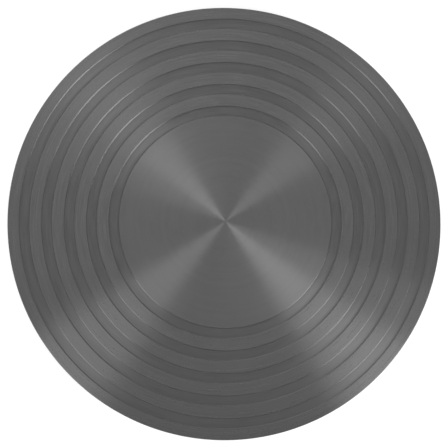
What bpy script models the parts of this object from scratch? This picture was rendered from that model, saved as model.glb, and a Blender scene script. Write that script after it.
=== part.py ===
"""Heat-diffuser plate for a gas hob: a flat round plate turned from solid aluminium.

The upper face has a smooth centre disc and a set of shallow, flat-bottomed grooves around it.
The underside is flat. Metres, +Z up, origin at the centre of the underside.
"""

import math

import bpy

# Driving dimensions, in metres.
PLATE_RADIUS = 0.120
PLATE_THICKNESS = 0.004
CENTRE_DISC_RADIUS = 0.0590
GROOVE_COUNT = 5
GROOVE_PITCH = 0.0123
GROOVE_WIDTH = 0.00545
GROOVE_DEPTH = 0.0006
INNER_WALL_RUN = 0.0004
OUTER_WALL_RUN = 0.0005
UPPER_RIM_BREAK = 0.0002
LOWER_RIM_BREAK = 0.0005

# Facets around the axis, with a corner on each of +X, +Y, -X and -Y.
TURN_STEPS = 120
MERGE_DISTANCE = 0.00001
SHARP_ANGLE = math.radians(20)

ANODISED_COLOUR = (0.100, 0.100, 0.100, 1.0)
ANODISED_ROUGHNESS = 0.35


def clear_scene():
    for old in list(bpy.data.objects):
        bpy.data.objects.remove(old, do_unlink=True)


def anodised_aluminium():
    material = bpy.data.materials.new("anodised_aluminium")
    material.use_nodes = True
    shader = material.node_tree.nodes["Principled BSDF"]
    shader.inputs["Base Color"].default_value = ANODISED_COLOUR
    shader.inputs["Metallic"].default_value = 1.0
    shader.inputs["Roughness"].default_value = ANODISED_ROUGHNESS
    return material


def groove_profile(inner_wall):
    """One groove's four corners, from the centre outwards, as (radius, height).

    inner_wall is the radius at the middle of the slanted wall nearer the axis.
    """
    outer_wall = inner_wall + GROOVE_WIDTH
    floor = PLATE_THICKNESS - GROOVE_DEPTH
    return [
        (inner_wall - INNER_WALL_RUN / 2, PLATE_THICKNESS),
        (inner_wall + INNER_WALL_RUN / 2, floor),
        (outer_wall - OUTER_WALL_RUN / 2, floor),
        (outer_wall + OUTER_WALL_RUN / 2, PLATE_THICKNESS),
    ]


def plate_profile():
    """Half section of the plate, from the axis on top, round the rim, to the axis underneath."""
    points = [(0.0, PLATE_THICKNESS)]
    for index in range(GROOVE_COUNT):
        points += groove_profile(CENTRE_DISC_RADIUS + index * GROOVE_PITCH)
    points += [
        (PLATE_RADIUS - UPPER_RIM_BREAK, PLATE_THICKNESS),
        (PLATE_RADIUS, PLATE_THICKNESS - UPPER_RIM_BREAK),
        (PLATE_RADIUS, LOWER_RIM_BREAK),
        (PLATE_RADIUS - LOWER_RIM_BREAK, 0.0),
        (0.0, 0.0),
    ]
    return points


def turned(name, profile, material):
    """Turn a half section around +Z into a closed solid."""
    corners = [(radius, 0.0, height) for radius, height in profile]
    edges = [(index, index + 1) for index in range(len(corners) - 1)]
    mesh = bpy.data.meshes.new(name)
    mesh.from_pydata(corners, edges, [])
    mesh.materials.append(material)
    solid = bpy.data.objects.new(name, mesh)
    bpy.context.scene.collection.objects.link(solid)
    turn = solid.modifiers.new("turn", "SCREW")
    turn.axis = "Z"
    turn.steps = TURN_STEPS
    turn.render_steps = TURN_STEPS
    turn.use_merge_vertices = True
    turn.merge_threshold = MERGE_DISTANCE
    turn.use_smooth_shade = True
    return solid


def keep_turned_edges_crisp(solid):
    """Round surfaces shade smooth, and the corners of the profile stay sharp."""
    bpy.context.view_layer.objects.active = solid
    solid.select_set(True)
    bpy.ops.object.modifier_apply(modifier="turn")
    solid.data.shade_smooth()
    solid.data.set_sharp_from_angle(angle=SHARP_ANGLE)
    solid.select_set(False)


clear_scene()
plate = turned("heat_diffuser_plate", plate_profile(), anodised_aluminium())
keep_turned_edges_crisp(plate)
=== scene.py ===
import math

import bpy
from mathutils import Matrix, Vector


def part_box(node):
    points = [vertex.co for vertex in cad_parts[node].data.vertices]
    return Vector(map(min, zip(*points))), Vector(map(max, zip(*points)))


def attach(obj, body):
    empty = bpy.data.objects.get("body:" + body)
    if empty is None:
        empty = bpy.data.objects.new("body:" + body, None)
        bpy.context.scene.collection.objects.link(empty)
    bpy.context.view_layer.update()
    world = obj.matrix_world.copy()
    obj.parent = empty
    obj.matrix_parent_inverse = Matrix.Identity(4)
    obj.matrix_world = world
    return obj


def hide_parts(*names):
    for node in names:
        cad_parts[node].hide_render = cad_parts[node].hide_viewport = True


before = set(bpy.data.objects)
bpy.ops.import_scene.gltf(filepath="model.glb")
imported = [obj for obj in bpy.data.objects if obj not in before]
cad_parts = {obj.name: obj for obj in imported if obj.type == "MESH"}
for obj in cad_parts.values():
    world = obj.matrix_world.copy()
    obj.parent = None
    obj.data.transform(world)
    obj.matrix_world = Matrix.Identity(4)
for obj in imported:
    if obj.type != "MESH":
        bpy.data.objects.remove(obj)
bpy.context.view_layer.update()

# The visual model of a turned heat-diffuser plate, in metres, +Z up, resting on z = 0.
# Azimuths and elevations are in degrees, seen from the middle of the plate.
CAD_NODE = "heat_diffuser_plate"

plate_low, plate_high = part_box(CAD_NODE)
PLATE_RADIUS = (plate_high.x - plate_low.x) / 2
PLATE_TOP = plate_high.z
PLATE_BOTTOM = plate_low.z

# The turned profile. Groove edges are measured at the middle of each slanting wall.
CENTRE_DISC_RADIUS = 0.0590
GROOVE_COUNT = 5
GROOVE_PITCH = 0.0123
GROOVE_WIDTH = 0.00545
GROOVE_DEPTH = 0.0006
INNER_WALL_RUN = 0.0004
OUTER_WALL_RUN = 0.0005
UPPER_RIM_BREAK = 0.0002
LOWER_RIM_BREAK = 0.0005

# How the profile's corners are rounded and how finely the plate is divided.
GROOVE_LIP_FILLET = 0.00012
GROOVE_FLOOR_FILLET = 0.0002
UPPER_RIM_FILLET = 0.00015
LOWER_RIM_FILLET = 0.0004
FILLET_STEPS = 5
FILLET_SUPPORT = 0.00006
FLAT_RING_STEP = 0.004
TURN_SEGMENTS = 400

# The finishes: name, grey, roughness, and how strongly the tool marks show.
FACE_FINISH = ("anodised_face", 0.100, 0.32, 1.0)
GROOVE_FINISH = ("anodised_groove", 0.0985, 0.38, 0.8)
WALL_FINISH = ("anodised_wall", 0.100, 0.38, 0.1)
DISC_FINISH = ("anodised_disc", 0.113, 0.38, 0.4)
FINISHES = (FACE_FINISH, GROOVE_FINISH, WALL_FINISH, DISC_FINISH)

# The rim band and the underside have the face finish. Elsewhere, a face whose normal's z is under
# WALL_NORMAL_Z is a wall.
RIM_BAND = 0.003
WALL_NORMAL_Z = 0.97

# The metal's highlight is drawn out across the turning. A grazing tint below 1 holds back its sheen.
ANISOTROPY = 1.0
ANISOTROPY_TURN = 0.25
GRAZING_TINT = 0.4

# The patterns in the metal: sizes in metres, but the streaks' arc in radians. Detail is Blender's own
# count of finer layers, and the value of the noise mostly lies from NOISE_LOW to NOISE_HIGH.
TOOL_RING_PITCH = 0.00045
TOOL_MARK_DEPTH = 0.00003
STREAK_PITCH = 0.0008
STREAK_ARC = 0.16
TINT_RING_PITCH = 0.0045
GRAIN_SIZE = 0.0008
MOTTLE_SIZE = 0.02
FINE_DETAIL = 2.0
SOFT_DETAIL = 1.0
NOISE_LOW = 0.3
NOISE_HIGH = 0.7

# How far each pattern changes the colour and the roughness, as a share of them.
MARK_TINT = 0.12
RING_TINT = 0.02
GRAIN_TINT = 0.02
MOTTLE_TINT = 0.015
MARK_ROUGHNESS = 0.5
GRAIN_ROUGHNESS = 0.07

# The camera looks almost straight down. Lens and sensor are in millimetres.
CAMERA_AIM = Vector((-0.00089, -0.00150, PLATE_TOP))
CAMERA_DISTANCE = 5.3 * PLATE_RADIUS
CAMERA_AZIMUTH = 240
CAMERA_ELEVATION = 85.5
CAMERA_LENS = 92.35
SENSOR_WIDTH = 36.0
CLIP_START = 0.01
CLIP_END = 20.0

# The light tent: a dome with a bright side, a fill light and two opposite sides. It is made of bands
# of elevation, and between two bands the radiance changes evenly.
TENT_RADIUS = 0.8
TENT_SIDES = 72
TENT_ROWS = 45
BRIGHT_AZIMUTH = 100
FILL_AZIMUTH = 118
FILL_SPREAD = 22
FILL_RADIANCE = 2.1
SIDE_AZIMUTH = 75
TENT_BANDS = (
    # from, to, radiance all round, then what the bright side, the fill and the two sides add
    (0, 12, 3.1, -1.2, 0.5, 0.35),
    (16, 26, 1.4, 0.0, 1.0, 0.0),
    (30, 40, 0.85, 0.0, 0.5, 0.0),
    (44, 56, 0.45, 0.65, 0.0, 0.0),
    (60, 74, 0.0, 1.6, 0.0, 0.0),
    (77, 90, 1.7, 0.0, 0.0, 0.0),
)

# The soft boxes inside the tent.
BOX_DISTANCE = 0.76
SOFT_BOXES = (
    # name, azimuth, elevation, width, height, radiance
    ("right_low", 319, 8, 0.30, 0.20, 5.2),
    ("right_side", 330, 22, 0.42, 0.20, 9.2),
    ("right_upper", 319, 38, 0.26, 0.20, 10.4),
    ("left_low", 221, 8, 0.26, 0.20, 9.3),
    ("left_upper", 222, 42, 0.26, 0.32, 4.8),
)

# The floor and the world around it.
FLOOR_HALF = 6.0
FLOOR_GAP = 0.00005
FLOOR_GREY = 0.38
FLOOR_ROUGHNESS = 0.9
FLOOR_GLOW = 0.6
WORLD_STRENGTH = 1.0
WHITE = (1.0, 1.0, 1.0, 1.0)


def plate_corners():
    """Corners of the half section, from the axis on top to the axis below: radius, height, fillet."""
    floor = PLATE_TOP - GROOVE_DEPTH
    corners = [(0.0, PLATE_TOP, 0.0)]
    for index in range(GROOVE_COUNT):
        inner = CENTRE_DISC_RADIUS + index * GROOVE_PITCH
        outer = inner + GROOVE_WIDTH
        corners += [
            (inner - INNER_WALL_RUN / 2, PLATE_TOP, GROOVE_LIP_FILLET),
            (inner + INNER_WALL_RUN / 2, floor, GROOVE_FLOOR_FILLET),
            (outer - OUTER_WALL_RUN / 2, floor, GROOVE_FLOOR_FILLET),
            (outer + OUTER_WALL_RUN / 2, PLATE_TOP, GROOVE_LIP_FILLET),
        ]
    corners += [
        (PLATE_RADIUS - UPPER_RIM_BREAK, PLATE_TOP, UPPER_RIM_FILLET),
        (PLATE_RADIUS, PLATE_TOP - UPPER_RIM_BREAK, UPPER_RIM_FILLET),
        (PLATE_RADIUS, PLATE_BOTTOM + LOWER_RIM_BREAK, LOWER_RIM_FILLET),
        (PLATE_RADIUS - LOWER_RIM_BREAK, PLATE_BOTTOM, LOWER_RIM_FILLET),
        (0.0, PLATE_BOTTOM, 0.0),
    ]
    return corners


def fillet(before, corner, after, radius):
    """Arc of the given radius that rounds a profile's corner, with a support point on each side."""
    corner = Vector(corner)
    to_before = Vector(before) - corner
    to_after = Vector(after) - corner
    bend = math.pi - to_before.angle(to_after)
    to_before.normalize()
    to_after.normalize()
    cut = radius * math.tan(bend / 2)
    start = corner + to_before * cut
    end = corner + to_after * cut
    centre = corner + (to_before + to_after).normalized() * radius / math.cos(bend / 2)
    first = (start - centre).normalized()
    across = ((end - centre) - first * (end - centre).dot(first)).normalized()
    points = [start + to_before * FILLET_SUPPORT]
    for step in range(FILLET_STEPS + 1):
        angle = bend * (step / FILLET_STEPS)
        points.append(centre + (first * math.cos(angle) + across * math.sin(angle)) * radius)
    points.append(end + to_after * FILLET_SUPPORT)
    return [tuple(point) for point in points]


def turned_profile(corners):
    """The profile's points with every corner rounded and the long flats divided into rings."""
    rounded = [corners[0][:2]]
    for before, corner, after in zip(corners, corners[1:], corners[2:]):
        rounded += fillet(before[:2], corner[:2], after[:2], corner[2])
    rounded.append(corners[-1][:2])
    points = [rounded[0]]
    for (radius, height), (next_radius, next_height) in zip(rounded, rounded[1:]):
        length = math.dist((radius, height), (next_radius, next_height))
        steps = max(1, round(length / FLAT_RING_STEP))
        for step in range(1, steps + 1):
            share = step / steps
            points.append((
                radius + (next_radius - radius) * share,
                height + (next_height - height) * share,
            ))
    return points


def add_object(name, data):
    """New object in the scene."""
    added = bpy.data.objects.new(name, data)
    bpy.context.scene.collection.objects.link(added)
    return added


def turn(name, profile, segments):
    """Closed piece turned from a half section that starts and ends on the axis."""
    angles = [math.tau * segment / segments for segment in range(segments)]
    vertices = [(0.0, 0.0, profile[0][1])]
    for radius, height in profile[1:-1]:
        vertices += [(radius * math.cos(angle), radius * math.sin(angle), height) for angle in angles]
    vertices.append((0.0, 0.0, profile[-1][1]))
    last = len(vertices) - 1
    faces = []
    for segment in range(segments):
        following = (segment + 1) % segments
        faces.append((0, 1 + segment, 1 + following))
        for ring in range(len(profile) - 3):
            upper = 1 + ring * segments
            lower = upper + segments
            faces.append((upper + segment, lower + segment, lower + following, upper + following))
        faces.append((last, last - segments + following, last - segments + segment))
    mesh = bpy.data.meshes.new(name)
    mesh.from_pydata(vertices, [], faces)
    mesh.shade_smooth()
    return add_object(name, mesh)


def linked(tree, kind, inputs, **settings):
    """New node with its settings and inputs filled in; an input is a socket to link or a constant."""
    node = tree.nodes.new(kind)
    for name, value in settings.items():
        setattr(node, name, value)
    for key, value in inputs.items():
        if isinstance(value, bpy.types.NodeSocket):
            tree.links.new(value, node.inputs[key])
        else:
            node.inputs[key].default_value = value
    return node


def calculate(tree, operation, *values):
    """Result of a math node."""
    return linked(tree, "ShaderNodeMath", dict(enumerate(values)), operation=operation).outputs[0]


def vector_math(tree, operation, inputs):
    """Vector math node."""
    return linked(tree, "ShaderNodeVectorMath", inputs, operation=operation)


def noise(tree, inputs, **settings):
    """Value of a noise texture."""
    return linked(tree, "ShaderNodeTexNoise", inputs, **settings).outputs[0]


def factor(tree, value, swing):
    """Noise turned into a factor of 1, give or take the swing."""
    inputs = {"Value": value, 1: NOISE_LOW, 2: NOISE_HIGH, 3: 1 - swing, 4: 1 + swing}
    return linked(tree, "ShaderNodeMapRange", inputs).outputs["Result"]


def ring_noise(tree, radius, pitch, detail):
    """Noise that changes only with the radius, so it draws rings about the axis."""
    count = calculate(tree, "MULTIPLY", radius, 1 / pitch)
    return noise(tree, {"W": count, "Scale": 1.0, "Detail": detail}, noise_dimensions="1D")


def streak_noise(tree, flat, radius):
    """Noise drawn out into short arcs about the axis, as a tool and a brush leave them."""
    direction = vector_math(tree, "NORMALIZE", {0: flat}).outputs[0]
    around = vector_math(tree, "SCALE", {0: direction, "Scale": 1 / STREAK_ARC}).outputs[0]
    parts = linked(tree, "ShaderNodeSeparateXYZ", {0: around})
    across = calculate(tree, "MULTIPLY", radius, 1 / STREAK_PITCH)
    place = linked(tree, "ShaderNodeCombineXYZ", {0: parts.outputs[0], 1: parts.outputs[1], 2: across})
    return noise(tree, {"Vector": place.outputs[0], "Scale": 1.0, "Detail": SOFT_DETAIL})


def anodised_aluminium(name, grey, roughness, marking):
    """Dark grey anodising over turned aluminium: fine tool rings, soft tint rings and a faint grain."""
    material = bpy.data.materials.new(name)
    material.use_nodes = True
    tree = material.node_tree
    place = linked(tree, "ShaderNodeTexCoord", {}).outputs["Object"]
    flat = vector_math(tree, "MULTIPLY", {0: place, 1: (1.0, 1.0, 0.0)}).outputs[0]
    radius = vector_math(tree, "LENGTH", {0: flat}).outputs["Value"]
    tool_rings = ring_noise(tree, radius, TOOL_RING_PITCH, FINE_DETAIL)
    streaks = streak_noise(tree, flat, radius)
    tint_rings = ring_noise(tree, radius, TINT_RING_PITCH, SOFT_DETAIL)
    grain = noise(tree, {"Vector": place, "Scale": 1 / GRAIN_SIZE, "Detail": FINE_DETAIL})
    mottle = noise(tree, {"Vector": place, "Scale": 1 / MOTTLE_SIZE, "Detail": FINE_DETAIL})

    # Tool rings and streaks each lie about 0.5, so their sum less 1 lies about 0.
    marks = calculate(tree, "ADD", tool_rings, streaks)
    marks = calculate(tree, "SUBTRACT", marks, 1.0)
    marks = calculate(tree, "MULTIPLY", marks, marking)

    tint = calculate(tree, "MULTIPLY_ADD", marks, MARK_TINT, 1.0)
    for pattern, swing in ((tint_rings, RING_TINT), (grain, GRAIN_TINT), (mottle, MOTTLE_TINT)):
        tint = calculate(tree, "MULTIPLY", tint, factor(tree, pattern, swing))
    colour = vector_math(tree, "SCALE", {0: (grey, grey, grey), "Scale": tint}).outputs[0]

    rough = calculate(tree, "MULTIPLY_ADD", marks, -MARK_ROUGHNESS, 1.0)
    rough = calculate(tree, "MULTIPLY", rough, factor(tree, grain, GRAIN_ROUGHNESS))
    rough = calculate(tree, "MULTIPLY", rough, roughness)

    relief = {"Height": marks, "Strength": 1.0, "Distance": TOOL_MARK_DEPTH}
    bump = linked(tree, "ShaderNodeBump", relief).outputs[0]
    tangent = linked(tree, "ShaderNodeTangent", {}, direction_type="RADIAL", axis="Z").outputs[0]

    shader = tree.nodes["Principled BSDF"]
    shader.inputs["Metallic"].default_value = 1.0
    shader.inputs["Anisotropic"].default_value = ANISOTROPY
    shader.inputs["Anisotropic Rotation"].default_value = ANISOTROPY_TURN
    shader.inputs["Specular Tint"].default_value = (GRAZING_TINT, GRAZING_TINT, GRAZING_TINT, 1.0)
    tree.links.new(colour, shader.inputs["Base Color"])
    tree.links.new(rough, shader.inputs["Roughness"])
    tree.links.new(bump, shader.inputs["Normal"])
    tree.links.new(tangent, shader.inputs["Tangent"])
    return material


def finish_of(polygon):
    """The finish of one face of the plate, from its place and slope."""
    radius = polygon.center.xy.length
    if polygon.center.z < PLATE_TOP / 2 or radius > PLATE_RADIUS - RIM_BAND:
        return FACE_FINISH
    if polygon.normal.z < WALL_NORMAL_Z:
        return WALL_FINISH
    if radius < CENTRE_DISC_RADIUS:
        return DISC_FINISH
    if polygon.center.z < PLATE_TOP - GROOVE_DEPTH / 2:
        return GROOVE_FINISH
    return FACE_FINISH


def make_plate():
    """The turned plate in its finishes, which stands for the plain CAD plate."""
    plate = turn("turned_plate", turned_profile(plate_corners()), TURN_SEGMENTS)
    for finish in FINISHES:
        plate.data.materials.append(anodised_aluminium(*finish))
    for polygon in plate.data.polygons:
        polygon.material_index = FINISHES.index(finish_of(polygon))
    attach(plate, "root")
    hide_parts(CAD_NODE)


def direction_to(azimuth, elevation):
    """Unit vector from the middle of the plate."""
    azimuth = math.radians(azimuth)
    elevation = math.radians(elevation)
    return Vector((
        math.cos(elevation) * math.cos(azimuth),
        math.cos(elevation) * math.sin(azimuth),
        math.sin(elevation),
    ))


def make_camera():
    """Camera above the plate, with the top of its picture towards +Y."""
    data = bpy.data.cameras.new("camera")
    data.lens = CAMERA_LENS
    data.sensor_width = SENSOR_WIDTH
    data.clip_start = CLIP_START
    data.clip_end = CLIP_END
    camera = add_object("camera", data)
    back = direction_to(CAMERA_AZIMUTH, CAMERA_ELEVATION)
    right = Vector((0.0, 1.0, 0.0)).cross(back).normalized()
    up = back.cross(right)
    axes = Matrix((right, up, back)).transposed().to_4x4()
    camera.matrix_world = Matrix.Translation(CAMERA_AIM + back * CAMERA_DISTANCE) @ axes
    bpy.context.scene.camera = camera


def make_floor():
    """Plain pale floor, lit a little from within so that it stays white."""
    corners = [(x * FLOOR_HALF, y * FLOOR_HALF, 0.0) for x, y in ((-1, -1), (1, -1), (1, 1), (-1, 1))]
    mesh = bpy.data.meshes.new("floor")
    mesh.from_pydata(corners, [], [(0, 1, 2, 3)])
    floor = add_object("floor", mesh)
    floor.location.z = PLATE_BOTTOM - FLOOR_GAP
    material = bpy.data.materials.new("studio_floor")
    material.use_nodes = True
    shader = material.node_tree.nodes["Principled BSDF"]
    shader.inputs["Base Color"].default_value = (FLOOR_GREY, FLOOR_GREY, FLOOR_GREY, 1.0)
    shader.inputs["Roughness"].default_value = FLOOR_ROUGHNESS
    shader.inputs["Specular IOR Level"].default_value = 0.0
    shader.inputs["Emission Color"].default_value = WHITE
    shader.inputs["Emission Strength"].default_value = FLOOR_GLOW
    mesh.materials.append(material)


def make_world():
    """Plain white surroundings."""
    world = bpy.data.worlds.new("studio")
    bpy.context.scene.world = world
    world.use_nodes = True
    background = world.node_tree.nodes["Background"]
    background.inputs["Color"].default_value = WHITE
    background.inputs["Strength"].default_value = WORLD_STRENGTH


def tent_radiance(azimuth, elevation):
    """Radiance of the light tent in one direction."""
    bright = (1 + math.cos(math.radians(azimuth - BRIGHT_AZIMUTH))) / 2
    from_fill = (azimuth - FILL_AZIMUTH + 180) % 360 - 180
    fill = FILL_RADIANCE * math.exp(-0.5 * (from_fill / FILL_SPREAD) ** 2)
    sides = math.cos(math.radians(azimuth - SIDE_AZIMUTH)) ** 2
    stations = []
    for start, end, base, bright_share, fill_share, side_radiance in TENT_BANDS:
        radiance = base + bright_share * bright + fill_share * fill + side_radiance * sides
        stations += [(start, radiance), (end, radiance)]
    for (below, lower), (above, upper) in zip(stations, stations[1:]):
        if elevation <= above:
            return lower + (upper - lower) * (elevation - below) / (above - below)
    return stations[-1][1]


def glowing(name):
    """Material that shines with the radiance stored at each point of the mesh."""
    material = bpy.data.materials.new(name)
    material.use_nodes = True
    tree = material.node_tree
    tree.nodes.clear()
    colour = linked(tree, "ShaderNodeAttribute", {}, attribute_name="radiance").outputs["Color"]
    emission = linked(tree, "ShaderNodeEmission", {"Color": colour, "Strength": 1.0}).outputs[0]
    linked(tree, "ShaderNodeOutputMaterial", {"Surface": emission})
    material.cycles.emission_sampling = "NONE"
    return material


def make_tent():
    """White dome over the plate, lit from within, which the metal reflects and the camera doesn't see."""
    vertices = []
    radiance = []
    for row in range(TENT_ROWS + 1):
        elevation = 90 * row / TENT_ROWS
        for side in range(TENT_SIDES):
            azimuth = 360 * side / TENT_SIDES
            vertices.append(direction_to(azimuth, elevation) * TENT_RADIUS)
            radiance.append(tent_radiance(azimuth, elevation))
    faces = []
    for row in range(TENT_ROWS):
        for side in range(TENT_SIDES):
            here = row * TENT_SIDES + side
            beside = row * TENT_SIDES + (side + 1) % TENT_SIDES
            faces.append((here, here + TENT_SIDES, beside + TENT_SIDES, beside))
    mesh = bpy.data.meshes.new("light_tent")
    mesh.from_pydata(vertices, [], faces)
    glow = mesh.color_attributes.new("radiance", "FLOAT_COLOR", "POINT")
    for point, value in zip(glow.data, radiance):
        point.color = (value, value, value, 1.0)
    mesh.materials.append(glowing("light_tent"))
    tent = add_object("light_tent", mesh)
    tent.visible_camera = False


def make_soft_box(name, azimuth, elevation, width, height, radiance):
    """Soft rectangular light that faces the plate, with the power that gives it this radiance."""
    data = bpy.data.lights.new(name, "AREA")
    data.shape = "RECTANGLE"
    data.size = width
    data.size_y = height
    data.energy = radiance * math.pi * width * height
    away = direction_to(azimuth, elevation)
    light = add_object(name, data)
    light.location = away * BOX_DISTANCE
    light.rotation_euler = away.to_track_quat("Z", "Y").to_euler()
    light.visible_camera = False


make_plate()
make_camera()
make_floor()
make_world()
make_tent()
for soft_box in SOFT_BOXES:
    make_soft_box(*soft_box)

bpy.context.scene.view_settings.view_transform = "Standard"
